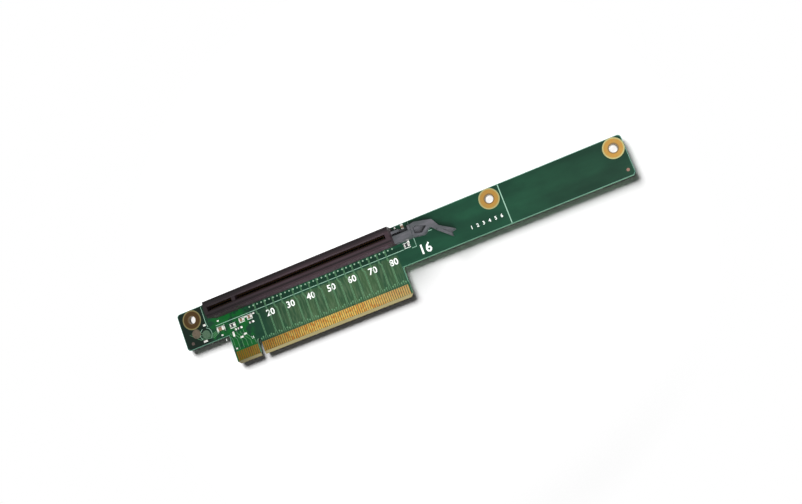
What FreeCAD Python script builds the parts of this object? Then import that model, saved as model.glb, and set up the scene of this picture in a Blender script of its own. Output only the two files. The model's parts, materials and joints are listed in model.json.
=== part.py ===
"""Passive x16 riser card, lying on its back with the slot upwards.

Frame, in millimetres: X runs along the board, Y from the gold fingers to the far long edge and Z out of
the side that carries the slot. The origin lies on the centre line of the tab's key notch, where it meets
the tab's leading edge, on the board's back face.
"""
import FreeCAD
import Part
import Sketcher
import os
import re

SIZES = {
    # bare board
    "board_thickness": 1.6,
    "board_height": 31.1,
    "board_corner_radius": 1.5,
    "inner_corner_radius": 0.8,
    "left_arm_length": 21.0,
    "left_arm_rise": 13.6,
    "right_arm_length": 103.8,
    "right_arm_rise": 13.1,
    # edge connector tab
    "tab_width": 85.2,
    "tab_key_distance": 12.6,
    "tab_notch_width": 1.9,
    "tab_notch_depth": 7.6,
    "tab_corner_cut": 1.2,
    "tab_bevel_length": 1.3,
    "tab_bevel_depth": 0.45,
    "tab_end_margin": 0.7,
    # contact positions, shared by the tab's fingers and the slot
    "contact_pitch": 1.0,
    "key_to_contact": 1.5,
    # gold fingers
    "finger_width": 0.7,
    "finger_start": 1.35,
    "finger_length": 4.85,
    "finger_thickness": 0.05,
    # plated mounting holes
    "mount_hole_diameter": 3.6,
    "mount_pad_diameter": 9.0,
    "mount_pad_height": 0.1,
    "mount_barrel_wall": 0.15,
    "mount_barrel_clearance": 0.03,
    "mount_left_inset": 6.4,
    "mount_left_drop": 4.6,
    "mount_middle_inset": 59.1,
    "mount_middle_drop": 4.55,
    "mount_right_inset": 4.55,
    "mount_right_drop": 4.6,
    # slot housing
    "slot_shift": 0.7,
    "slot_drop": 4.3,
    "slot_length": 89.0,
    "slot_width": 7.5,
    "slot_height": 11.25,
    "slot_shoulder_width": 1.1,
    "slot_shoulder_drop": 0.8,
    "slot_key_distance": 14.5,
    "slot_key_thickness": 1.7,
    "slot_key_drop": 0.6,
    "slot_end_wall": 1.8,
    "slot_end_margin": 2.6,
    "mouth_width": 1.75,
    "mouth_depth": 8.5,
    "mouth_lead": 0.5,
    "cavity_width": 0.7,
    "cavity_outer": 2.8,
    "cavity_height": 10.0,
    "floor_rib_width": 1.4,
    "tail_channel_outer": 3.45,
    "peg_diameter": 2.3,
    "peg_length": 2.4,
    "peg_clearance": 0.05,
    "peg_end_inset": 1.35,
    # slot contacts
    "contact_width": 0.5,
    "contact_thickness": 0.3,
    "contact_inner_row": 1.25,
    "contact_outer_row": 3.25,
    "contact_elbow_height": 3.0,
    "contact_touch_height": 9.2,
    "contact_touch_reach": 0.6,
    "tail_bend_height": 0.4,
    "tail_protrusion": 1.2,
    "tail_hole_clearance": 0.15,
    # retention clip
    "clip_length": 8.4,
    "clip_height": 6.0,
    "clip_floor": 1.5,
    "clip_front_reach": 3.75,
    "clip_back_reach": 1.6,
    "clip_groove_width": 1.0,
    "clip_back_wall_length": 3.6,
    "clip_end_wall": 1.0,
    "clip_tongue_length": 0.9,
    "clip_tongue_width": 0.8,
    "clip_tongue_clearance": 0.1,
    "bow_length": 11.7,
    "bow_height": 4.6,
    "bow_lift": 0.4,
    "bow_limb_width": 1.7,
    "bow_rim": 1.0,
    "bow_recess": 2.6,
    "bow_crown": 2.1,
    "bow_crown_run": 2.3,
    "bow_shoulder": 0.4,
    "bow_shoulder_run": 9.8,
    "bow_neck_drop": 3.2,
    "bow_neck_depth": 1.4,
    "bow_waist_drop": 1.9,
    "bow_waist_run": 7.8,
    "bow_belly": 4.5,
    "bow_belly_run": 4.6,
    "bow_rounding": 1.2,
    "paddle_length": 7.4,
    "paddle_root_width": 2.1,
    "paddle_tip_width": 3.3,
    "paddle_notch": 1.2,
    "paddle_groove_width": 0.8,
    "paddle_groove_depth": 0.8,
    "paddle_angle": 37.0,
    # small parts on the slot side
    "chip_terminal_share": 0.22,
    "chip_terminal_wrap": 0.04,
}

# Chip capacitors and resistors: size code, the end of the slot that they keep to, centre measured from
# the slot's key or from its far end, and the way they lie.
CHIP_SIZES = {
    "code_1206": (3.2, 1.6, 1.0),
    "code_0805": (2.0, 1.25, 0.7),
    "code_0603": (1.6, 0.8, 0.5),
}
CHIPS = {
    "chip_capacitor_1": ("code_1206", "key", -14.5, -9.0, 0),
    "chip_resistor_1": ("code_0805", "key", -8.7, -9.5, 0),
    "chip_resistor_2": ("code_0603", "key", -5.8, -11.7, 0),
    "chip_capacitor_2": ("code_0805", "key", -3.9, -8.6, 0),
    "chip_capacitor_3": ("code_0805", "key", 0.1, -8.6, 0),
    "chip_resistor_3": ("code_0603", "key", 0.3, -11.2, 0),
    "chip_capacitor_4": ("code_0805", "end", 4.6, 2.7, 90),
    "chip_resistor_4": ("code_0805", "end", 3.6, -5.5, 0),
}
CHIP_FIELDS = ("length", "width", "height")

TAB_LEFT = "-tab_key_distance"
TAB_RIGHT = "tab_width - tab_key_distance"
BOARD_LEFT = "-tab_key_distance - left_arm_length"
BOARD_RIGHT = "tab_width - tab_key_distance + right_arm_length"
SLOT_X = "-slot_shift"
SLOT_Y = "board_height - slot_drop"
CHIP_ORIGINS = {"key": SLOT_X, "end": f"{SLOT_X} + slot_length - slot_key_distance"}
PEG_PLACES = ("0", "slot_length - slot_key_distance - peg_end_inset")
SHEET_NAME = "Sizes"
PIECE_FOLDER = "parts"

doc = FreeCAD.newDocument("PcieRiserCard")
names = dict(SIZES)
for code, chip_size in CHIP_SIZES.items():
    for field, size in zip(CHIP_FIELDS, chip_size):
        names[f"chip_{field}_{code}"] = size
for chip, (code, end, x, y, turn) in CHIPS.items():
    names[f"place_x_{chip}"] = x
    names[f"place_y_{chip}"] = y
sheet = doc.addObject("Spreadsheet::Sheet", SHEET_NAME)
for row, (name, size) in enumerate(names.items(), start=1):
    sheet.set(f"A{row}", name)
    sheet.set(f"B{row}", str(size))
    sheet.setAlias(f"B{row}", name)
doc.recompute()


def ref(expression):
    """Return the expression with every size in it pointed at the spreadsheet."""
    return re.sub(r"[a-z]\w*", lambda word: refer(word.group()), str(expression))


def refer(word):
    """Return a size's full name, or the word itself where it is a function."""
    return f"{SHEET_NAME}.{word}" if word in names else word


def value(expression):
    """Return what an expression comes to now."""
    return float(sheet.evalExpression(ref(expression)))


def bind(item, prop, expression):
    """Tie one property of a document object to an expression of sizes."""
    item.setExpression(prop, ref(expression))


def place(item, x="0", y="0", z="0"):
    """Tie the place of a sub-part to expressions of sizes."""
    bind(item, "Placement.Base.x", x)
    bind(item, "Placement.Base.y", y)
    bind(item, "Placement.Base.z", z)


def make_body(label):
    """Add a PartDesign body that may hold several separate solids."""
    body = doc.addObject("PartDesign::Body", label)
    body.Label = label
    body.AllowCompound = True
    return body


def sketch_on(body, plane, name, offset="0"):
    """Add a sketch on one of the body's own planes, moved along the plane's normal."""
    sketch = body.newObject("Sketcher::SketchObject", name)
    origin_plane = next(item for item in body.Origin.OriginFeatures if item.Role == plane)
    sketch.AttachmentSupport = [(origin_plane, "")]
    sketch.MapMode = "FlatFace"
    bind(sketch, "AttachmentOffset.Base.z", offset)
    return sketch


def hold_point(sketch, geometry, vertex, x, y):
    """Keep a sketch point at two expressions, measured from the sketch's origin."""
    for kind, axis, expression in (("DistanceX", -2, x), ("DistanceY", -1, y)):
        if expression == "0":
            sketch.addConstraint(Sketcher.Constraint("PointOnObject", geometry, vertex, axis))
            continue
        held = Sketcher.Constraint(kind, -1, 1, geometry, vertex, value(expression))
        index = sketch.addConstraint(held)
        bind(sketch, f"Constraints[{index}]", expression)


def polygon(sketch, corners):
    """Draw a closed outline through corners given as pairs of expressions."""
    points = [FreeCAD.Vector(value(x), value(y), 0) for x, y in corners]
    first = sketch.GeometryCount
    count = len(points)
    for number, point in enumerate(points):
        sketch.addGeometry(Part.LineSegment(point, points[(number + 1) % count]), False)
    for number, (x, y) in enumerate(corners):
        line = first + number
        after = first + (number + 1) % count
        sketch.addConstraint(Sketcher.Constraint("Coincident", line, 2, after, 1))
        hold_point(sketch, line, 1, x, y)


def rectangle(sketch, left, right, low, high):
    """Draw a rectangle between four expressions."""
    polygon(sketch, [(left, low), (right, low), (right, high), (left, high)])


def circle(sketch, x, y, diameter):
    """Draw a circle about two expressions."""
    centre = FreeCAD.Vector(value(x), value(y), 0)
    index = sketch.addGeometry(Part.Circle(centre, FreeCAD.Vector(0, 0, 1), value(diameter) / 2), False)
    hold_point(sketch, index, 3, x, y)
    round_size = sketch.addConstraint(Sketcher.Constraint("Diameter", index, value(diameter)))
    bind(sketch, f"Constraints[{round_size}]", diameter)


def pad(body, sketch, length, reverse=False):
    """Extrude a sketch out of its plane into the body."""
    feature = body.newObject("PartDesign::Pad", sketch.Name + "_pad")
    feature.Profile = sketch
    bind(feature, "Length", length)
    feature.Reversed = reverse
    doc.recompute()
    return feature


def pocket(body, sketch, length=None, reverse=False):
    """Cut a sketch out of the body, right through both ways where no length is given."""
    before = body.Shape.Volume
    feature = body.newObject("PartDesign::Pocket", sketch.Name + "_cut")
    feature.Profile = sketch
    if length is None:
        feature.Type = "ThroughAll"
        feature.Midplane = True
    else:
        bind(feature, "Length", length)
        feature.Reversed = reverse
    doc.recompute()
    if not body.Shape.Volume < before:
        raise RuntimeError(f"{feature.Name} removed nothing from {body.Label}")
    return feature


def row_of(body, feature, occurrences, step):
    """Repeat a feature along the body's X axis."""
    pattern = body.newObject("PartDesign::LinearPattern", feature.Name + "_row")
    pattern.Originals = [feature]
    x_axis = next(item for item in body.Origin.OriginFeatures if item.Role == "X_Axis")
    pattern.Direction = (x_axis, [""])
    pattern.Mode = "Spacing"
    bind(pattern, "Occurrences", occurrences)
    bind(pattern, "Offset", step)
    body.Tip = pattern
    doc.recompute()
    return pattern


def round_edges(body, spots, radius, name):
    """Fillet the upright edges of the body that stand at the given places."""
    places = [(value(x), value(y)) for x, y in spots]
    edges = [
        f"Edge{number}"
        for number, edge in enumerate(body.Shape.Edges, start=1)
        if any(stands_at(edge, x, y) for x, y in places)
    ]
    solid = body.Tip
    fillet = body.newObject("PartDesign::Fillet", name)
    fillet.Base = (solid, edges)
    bind(fillet, "Radius", radius)
    body.Tip = fillet
    doc.recompute()


def stands_at(edge, x, y):
    """Say whether an edge is upright at a place in the board's plane."""
    nearness = 1e-4
    return all(
        abs(vertex.X - x) < nearness and abs(vertex.Y - y) < nearness for vertex in edge.Vertexes
    )


def contacts_within(length, margin):
    """Return how many contacts fit between the key and the end of the tab or slot."""
    return f"floor(({length} - key_to_contact - {margin}) / contact_pitch + 1)"


def contact_groups(before_length, after_length, margin):
    """Return each group of contacts beside the key: its name, its first contact's place, its count."""
    before = contacts_within(before_length, margin)
    after = contacts_within(after_length, margin)
    return (
        ("before_key", f"-key_to_contact - ({before} - 1) * contact_pitch", before),
        ("after_key", "key_to_contact", after),
    )


FINGER_GROUPS = contact_groups("tab_key_distance", "(tab_width - tab_key_distance)", "tab_end_margin")
SLOT_GROUPS = contact_groups("slot_key_distance", "(slot_length - slot_key_distance)", "slot_end_margin")
CONTACT_ROWS = (
    ("inner", "contact_inner_row", "0", "ceil({count} / 2)"),
    ("outer", "contact_outer_row", "contact_pitch", "floor({count} / 2)"),
)


def build_board():
    """The bare board: tab, two arms, key notch, bevelled leading edge and every drilled hole."""
    body = make_body("circuit_board")
    outline = sketch_on(body, "XY_Plane", "board_outline")
    notch_side = "tab_notch_width / 2"
    notch_straight = "tab_notch_depth - tab_notch_width / 2"
    polygon(outline, [
        (f"{TAB_LEFT} + tab_corner_cut", "0"),
        (f"-{notch_side}", "0"),
        (f"-{notch_side}", notch_straight),
        (notch_side, notch_straight),
        (notch_side, "0"),
        (f"{TAB_RIGHT} - tab_corner_cut", "0"),
        (TAB_RIGHT, "tab_corner_cut"),
        (TAB_RIGHT, "right_arm_rise"),
        (BOARD_RIGHT, "right_arm_rise"),
        (BOARD_RIGHT, "board_height"),
        (BOARD_LEFT, "board_height"),
        (BOARD_LEFT, "left_arm_rise"),
        (TAB_LEFT, "left_arm_rise"),
        (TAB_LEFT, "tab_corner_cut"),
    ])
    pad(body, outline, "board_thickness")
    outer_corners = [
        (BOARD_RIGHT, "right_arm_rise"),
        (BOARD_RIGHT, "board_height"),
        (BOARD_LEFT, "board_height"),
        (BOARD_LEFT, "left_arm_rise"),
    ]
    inner_corners = [(TAB_RIGHT, "right_arm_rise"), (TAB_LEFT, "left_arm_rise")]
    round_edges(body, outer_corners, "board_corner_radius", "outer_corners")
    round_edges(body, inner_corners, "inner_corner_radius", "inner_corners")

    drill = sketch_on(body, "XY_Plane", "round_holes")
    circle(drill, "0", notch_straight, "tab_notch_width")
    for x, y in mount_places().values():
        circle(drill, x, y, "mount_hole_diameter + 2 * (mount_barrel_wall + mount_barrel_clearance)")
    for x in PEG_PLACES:
        circle(drill, f"{SLOT_X} + {x}", SLOT_Y, "peg_diameter + 2 * peg_clearance")
    pocket(body, drill)

    bevel = sketch_on(body, "YZ_Plane", "tab_bevel")
    polygon(bevel, [("0", "0"), ("tab_bevel_length", "0"), ("0", "tab_bevel_depth")])
    top_start = "board_thickness - tab_bevel_depth"
    polygon(bevel, [("0", top_start), ("tab_bevel_length", "board_thickness"), ("0", "board_thickness")])
    pocket(body, bevel)

    for group, start, count in SLOT_GROUPS:
        for row, reach, stagger, share in CONTACT_ROWS:
            holes = sketch_on(body, "XY_Plane", f"tail_holes_{group}_{row}")
            x = f"{SLOT_X} + ({start}) + {stagger}"
            half = "(contact_width / 2 + tail_hole_clearance)"
            for side in ("+", "-"):
                y = f"{SLOT_Y} {side} {reach}"
                rectangle(holes, f"{x} - {half}", f"{x} + {half}", f"{y} - {half}", f"{y} + {half}")
            row_of(body, pocket(body, holes), share.format(count=count), "2 * contact_pitch")
    return body


def mount_places():
    """Return the centre of each mounting hole."""
    return {
        "left": (f"{BOARD_LEFT} + mount_left_inset", "board_height - mount_left_drop"),
        "middle": (f"{BOARD_RIGHT} - mount_middle_inset", "board_height - mount_middle_drop"),
        "right": (f"{BOARD_RIGHT} - mount_right_inset", "board_height - mount_right_drop"),
    }


def build_fingers(side, group, start, count):
    """One row of gold fingers on one side of the tab."""
    body = make_body(f"edge_fingers_{side}_{group}")
    finger = sketch_on(body, "XY_Plane", f"finger_{side}_{group}")
    half = "finger_width / 2"
    rectangle(finger, f"{start} - {half}", f"{start} + {half}", "finger_start", "finger_start + finger_length")
    row_of(body, pad(body, finger, "finger_thickness"), count, "contact_pitch")
    place(body, z="board_thickness" if side == "front" else "-finger_thickness")
    return body


def build_eyelets():
    """The mounting holes' plating: in each hole a barrel with a round pad on each side of the board."""
    body = make_body("mount_eyelets")
    bore = "mount_hole_diameter / 2"
    barrel = "mount_hole_diameter / 2 + mount_barrel_wall"
    rim = "mount_pad_diameter / 2"
    top = "board_thickness + mount_pad_height"
    for side, (x, y) in mount_places().items():
        profile = sketch_on(body, "XZ_Plane", f"eyelet_profile_{side}", f"-({y})")
        bind(profile, "AttachmentOffset.Base.x", x)
        polygon(profile, [
            (bore, "-mount_pad_height"),
            (rim, "-mount_pad_height"),
            (rim, "0"),
            (barrel, "0"),
            (barrel, "board_thickness"),
            (rim, "board_thickness"),
            (rim, top),
            (bore, top),
        ])
        turned = body.newObject("PartDesign::Revolution", f"eyelet_{side}")
        turned.Profile = profile
        turned.ReferenceAxis = (profile, ["V_Axis"])
        turned.Angle = 360
        doc.recompute()
    place(body)
    return body


def build_housing():
    """The slot's one-piece moulding: stepped top, mouth, key, contact cavities and locating pegs."""
    body = make_body("slot_housing")
    side = "slot_width / 2"
    land = "slot_width / 2 - slot_shoulder_width"
    shoulder = "slot_height - slot_shoulder_drop"
    section = sketch_on(body, "YZ_Plane", "housing_section", "-slot_key_distance")
    polygon(section, [
        (f"-({side})", "0"),
        (side, "0"),
        (side, shoulder),
        (land, shoulder),
        (land, "slot_height"),
        (f"-({land})", "slot_height"),
        (f"-({land})", shoulder),
        (f"-({side})", shoulder),
    ])
    pad(body, section, "slot_length")

    mouth = sketch_on(body, "YZ_Plane", "mouth_section", "slot_end_wall - slot_key_distance")
    half = "mouth_width / 2"
    floor = "slot_height - mouth_depth"
    lead = "slot_height - mouth_lead"
    polygon(mouth, [
        (f"-{half}", floor),
        (half, floor),
        (half, lead),
        (f"{half} + mouth_lead", "slot_height"),
        (f"-{half} - mouth_lead", "slot_height"),
        (f"-{half}", lead),
    ])
    pocket(body, mouth, "slot_length - 2 * slot_end_wall", reverse=True)

    key = sketch_on(body, "YZ_Plane", "key_section", "-slot_key_thickness / 2")
    rectangle(key, f"-{half}", half, floor, "slot_height - slot_key_drop")
    pad(body, key, "slot_key_thickness")

    pegs = sketch_on(body, "XY_Plane", "locating_pegs")
    for x in PEG_PLACES:
        circle(pegs, x, "0", "peg_diameter")
    pad(body, pegs, "peg_length", reverse=True)

    socket = sketch_on(body, "XY_Plane", "clip_socket")
    end = "slot_length - slot_key_distance"
    room = "(clip_tongue_width / 2 + clip_tongue_clearance)"
    rectangle(socket, f"{end} - clip_tongue_length - clip_tongue_clearance", end, f"-{room}", room)
    pocket(body, socket, "clip_height + clip_tongue_clearance", reverse=True)

    for group, start, count in SLOT_GROUPS:
        channel = sketch_on(body, "XY_Plane", f"tail_channel_{group}")
        left = f"{start} - cavity_width / 2"
        right = f"{start} + ({count} - 1) * contact_pitch + cavity_width / 2"
        rectangle(channel, left, right, "floor_rib_width / 2", "tail_channel_outer")
        rectangle(channel, left, right, "-tail_channel_outer", "-floor_rib_width / 2")
        pocket(body, channel, floor, reverse=True)
        cavity = sketch_on(body, "XY_Plane", f"cavity_{group}")
        near = f"{start} + cavity_width / 2"
        rectangle(cavity, left, near, half, "cavity_outer")
        rectangle(cavity, left, near, "-cavity_outer", f"-{half}")
        cut = pocket(body, cavity, "cavity_height", reverse=True)
        row_of(body, cut, count, "contact_pitch")
    place(body, SLOT_X, SLOT_Y, "board_thickness")
    return body


def contact_spine(row):
    """Return a contact's middle line from its tail up to where it touches a card: reach and height."""
    tail_end = "-board_thickness - tail_protrusion"
    touch = ("contact_touch_reach", "contact_touch_height")
    if row == "inner":
        return [("contact_inner_row", tail_end), ("contact_inner_row", "contact_elbow_height"), touch]
    return [("contact_outer_row", tail_end), ("contact_outer_row", "tail_bend_height"), touch]


def build_contacts(side, row, stagger, share):
    """One row of sprung slot contacts: a solder tail, and a beam that leans into the slot's mouth."""
    body = make_body(f"slot_contacts_{side}_{row}")
    sign = "-" if side == "front" else ""
    spine = contact_spine(row)
    for group, start, count in SLOT_GROUPS:
        offset = f"{start} + {stagger} - contact_width / 2"
        strip = sketch_on(body, "YZ_Plane", f"contact_{side}_{row}_{group}", offset)
        outward = [(f"{sign}({reach} + contact_thickness / 2)", height) for reach, height in spine]
        inward = [(f"{sign}({reach} - contact_thickness / 2)", height) for reach, height in spine]
        polygon(strip, outward + inward[::-1])
        one = pad(body, strip, "contact_width")
        row_of(body, one, share.format(count=count), "2 * contact_pitch")
    place(body, SLOT_X, SLOT_Y, "board_thickness")
    return body


def build_clip():
    """The card retention clip at the slot's end: body with a groove, sprung bow and finger paddle."""
    body = make_body("retention_clip")
    groove = "clip_groove_width / 2"
    base = sketch_on(body, "XY_Plane", "clip_base")
    rectangle(base, "0", "clip_length", "-clip_front_reach", "clip_back_reach")
    pad(body, base, "clip_height")

    slit = sketch_on(body, "XY_Plane", "clip_groove", "clip_height")
    inner_end = "clip_length - clip_end_wall"
    polygon(slit, [
        ("0", f"-{groove}"),
        (inner_end, f"-{groove}"),
        (inner_end, "clip_back_reach"),
        ("clip_back_wall_length", "clip_back_reach"),
        ("clip_back_wall_length", groove),
        ("0", groove),
    ])
    pocket(body, slit, "clip_height - clip_floor")

    tongue = sketch_on(body, "XY_Plane", "clip_tongue")
    half = "clip_tongue_width / 2"
    rectangle(tongue, "-clip_tongue_length", "0", f"-{half}", half)
    pad(body, tongue, "clip_height")

    wall = "clip_length - clip_end_wall / 2"
    crown = ("clip_length + bow_crown_run", "bow_crown")
    shoulder = ("clip_length + bow_shoulder_run", "bow_shoulder")
    waist = ("clip_length + bow_waist_run", "-bow_waist_drop")
    belly = ("clip_length + bow_belly_run", "-bow_belly")
    bow = sketch_on(body, "XY_Plane", "clip_bow", "bow_lift")
    polygon(bow, [
        (wall, "clip_back_reach"),
        crown,
        shoulder,
        ("clip_length + bow_length", "-bow_neck_drop"),
        ("clip_length + bow_length - bow_limb_width", "-bow_neck_drop - bow_neck_depth"),
        waist,
        belly,
        (wall, "-clip_front_reach"),
    ])
    pad(body, bow, "bow_height")
    round_edges(body, [crown, shoulder, waist, belly], "bow_rounding", "bow_corners")

    paddle = sketch_on(body, "XY_Plane", "clip_paddle", "bow_lift")
    turn_paddle(paddle)
    root = "paddle_root_width / 2"
    tip = "paddle_tip_width / 2"
    polygon(paddle, [
        ("0", f"-{root}"),
        ("paddle_length", f"-{tip}"),
        ("paddle_length - paddle_notch", "0"),
        ("paddle_length", tip),
        ("0", root),
    ])
    pad(body, paddle, "bow_height")

    recess = sketch_on(body, "XY_Plane", "clip_recess", "bow_lift + bow_height")
    polygon(recess, [
        ("clip_length + bow_rim", "clip_back_reach - bow_limb_width"),
        ("clip_length + bow_crown_run", "bow_crown - bow_limb_width"),
        ("clip_length + bow_waist_run - bow_rim", "-bow_waist_drop + bow_rim / 2"),
        ("clip_length + bow_belly_run - bow_rim / 2", "-bow_belly + bow_rim"),
        ("clip_length + bow_rim", "-clip_front_reach + bow_rim"),
    ])
    pocket(body, recess, "bow_recess")

    flute = sketch_on(body, "XY_Plane", "paddle_flute", "bow_lift + bow_height")
    turn_paddle(flute)
    polygon(flute, [
        ("paddle_root_width", "0"),
        ("paddle_length", "-paddle_groove_width"),
        ("paddle_length", "paddle_groove_width"),
    ])
    pocket(body, flute, "paddle_groove_depth")
    place(body, f"{SLOT_X} + slot_length - slot_key_distance", SLOT_Y, "board_thickness")
    return body


def turn_paddle(sketch):
    """Set a sketch at the bow's neck, turned along the paddle."""
    bind(sketch, "AttachmentOffset.Base.x", "clip_length + bow_length - bow_limb_width / 2")
    bind(sketch, "AttachmentOffset.Base.y", "-bow_neck_drop - bow_neck_depth / 2")
    bind(sketch, "AttachmentOffset.Rotation.Angle", "-paddle_angle")


def join(label, items):
    """Gather separate solids into one sub-part."""
    group = doc.addObject("Part::Compound", label)
    group.Label = label
    group.Links = items
    return group


def chip_block(label, chip, along, across, low, high, shift):
    """One block of a chip part: its length along the chip, its width, and its heights above the board."""
    end = CHIPS[chip][1]
    turn = CHIPS[chip][-1]
    block = doc.addObject("Part::Box", label)
    block.Label = label
    bind(block, "Length", along)
    bind(block, "Width", across)
    bind(block, "Height", f"({high}) - ({low})")
    block.Placement.Rotation = FreeCAD.Rotation(FreeCAD.Vector(0, 0, 1), turn)
    centre_x = f"{CHIP_ORIGINS[end]} + place_x_{chip}"
    centre_y = f"{SLOT_Y} + place_y_{chip}"
    if turn == 0:
        x = f"{centre_x} - ({along}) / 2 + ({shift})"
        y = f"{centre_y} - ({across}) / 2"
    else:
        x = f"{centre_x} + ({across}) / 2"
        y = f"{centre_y} - ({along}) / 2 + ({shift})"
    place(block, x, y, f"board_thickness + ({low})")
    return block


def build_chip(chip):
    """A chip capacitor or resistor: a ceramic block held between two tinned end caps."""
    code = CHIPS[chip][0]
    length = f"chip_length_{code}"
    width = f"chip_width_{code}"
    height = f"chip_height_{code}"
    cap = f"{length} * chip_terminal_share"
    body = chip_block(
        f"{chip}_body", chip, f"{length} - 2 * {cap}", f"{width} - 2 * chip_terminal_wrap",
        "chip_terminal_wrap", f"{height} - chip_terminal_wrap", "0",
    )
    caps = [
        chip_block(f"{chip}_cap_{end}", chip, cap, width, "0", height, f"{sign}({length} - {cap}) / 2")
        for end, sign in (("near", "-"), ("far", "+"))
    ]
    return [body, join(f"{chip}_terminals", caps)]


def build_all():
    """Build every sub-part and return them in the order that they are assembled."""
    pieces = [build_board()]
    for side in ("front", "back"):
        for group, start, count in FINGER_GROUPS:
            pieces.append(build_fingers(side, group, start, count))
    pieces.append(build_eyelets())
    pieces.append(build_housing())
    for side in ("front", "back"):
        for row, _, stagger, share in CONTACT_ROWS:
            pieces.append(build_contacts(side, row, stagger, share))
    pieces.append(build_clip())
    for chip in CHIPS:
        pieces.extend(build_chip(chip))
    return pieces


def write_pieces(pieces):
    """Check that the whole document is sound, then write one file for each sub-part."""
    doc.recompute()
    for item in doc.Objects:
        if {"Invalid", "Error"} & set(item.State):
            raise RuntimeError(f"{item.Name} is {item.State}")
    for piece in pieces:
        if piece.Shape.isNull() or not piece.Shape.isValid():
            raise RuntimeError(f"{piece.Label} has no valid shape")
    os.makedirs(PIECE_FOLDER, exist_ok=True)
    for piece in pieces:
        piece.Shape.exportStep(f"{PIECE_FOLDER}/{piece.Label}.step")
        solids = len(piece.Shape.Solids)
        print(f"{piece.Label}: {solids} solid(s), {piece.Shape.Volume:.2f} mm3")


write_pieces(build_all())
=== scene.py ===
"""Dressing of a passive x16 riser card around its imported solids.

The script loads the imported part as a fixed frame, gives each of its nodes a procedural finish, adds what
is too fine for the solids (circuit traces, vias, printed legend, solder, moulding ribs), and lights the
card on a pale sheet of paper. Lengths in the script are millimetres in the part's own frame; they turn
into metres where a mesh is made.
"""

import json
import logging
import math
from dataclasses import dataclass
from enum import Enum
from functools import cached_property
from typing import Callable, Iterable, Sequence

import bpy
from mathutils import Matrix, Vector

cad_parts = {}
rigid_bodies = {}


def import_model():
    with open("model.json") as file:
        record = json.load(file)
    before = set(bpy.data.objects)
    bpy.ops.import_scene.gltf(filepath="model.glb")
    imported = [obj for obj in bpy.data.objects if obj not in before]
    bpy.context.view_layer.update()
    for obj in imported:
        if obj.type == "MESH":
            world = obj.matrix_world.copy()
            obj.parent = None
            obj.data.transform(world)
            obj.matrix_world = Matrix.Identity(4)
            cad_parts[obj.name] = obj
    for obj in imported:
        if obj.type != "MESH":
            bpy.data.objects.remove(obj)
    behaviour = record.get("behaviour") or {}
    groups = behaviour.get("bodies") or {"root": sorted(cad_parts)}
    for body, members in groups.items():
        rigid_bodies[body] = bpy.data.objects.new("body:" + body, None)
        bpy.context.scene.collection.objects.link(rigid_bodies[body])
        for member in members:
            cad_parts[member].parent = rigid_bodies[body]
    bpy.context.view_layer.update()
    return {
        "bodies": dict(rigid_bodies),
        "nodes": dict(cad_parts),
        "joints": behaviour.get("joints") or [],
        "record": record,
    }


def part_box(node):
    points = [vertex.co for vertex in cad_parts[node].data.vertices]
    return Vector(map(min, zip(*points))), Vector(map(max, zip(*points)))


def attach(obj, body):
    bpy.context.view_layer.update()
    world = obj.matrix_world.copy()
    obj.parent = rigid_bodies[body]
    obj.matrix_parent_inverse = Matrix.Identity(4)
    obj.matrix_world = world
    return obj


logging.basicConfig(level=logging.INFO, format="%(message)s")
log = logging.getLogger("riser")

MM = 0.001
ROOT = "root"
SMOOTH_ANGLE = math.radians(35)
ARC_STEP = 10
DISC_ROUNDING = 0.45
DISC_ROUNDING_LIMIT = 0.2
NOISE_ROUGHNESS = 0.55
INK_HEIGHT = 0.02
TYPE_SCALE = 1.4
TYPE_WEIGHT = 0.022

Mesh = bpy.types.Object
Material = bpy.types.Material
Point = tuple[float, float]
Triple = tuple[float, float, float]
Four = tuple[float, float, float, float]
Colour = Four


def paint(*screen: int) -> Colour:
    """Turn a screen colour into the linear colour that a shader takes.

    Args:
        screen: Red, green and blue from 0 to 255.

    Returns:
        The linear colour with full alpha.
    """

    def linear(part: int) -> float:
        """Undo the screen's curve for one part of the colour."""
        share = part / 255
        return share / 12.92 if share <= 0.04045 else ((share + 0.055) / 1.055) ** 2.4

    return (*map(linear, screen), 1.0)


# Shader building


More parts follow.
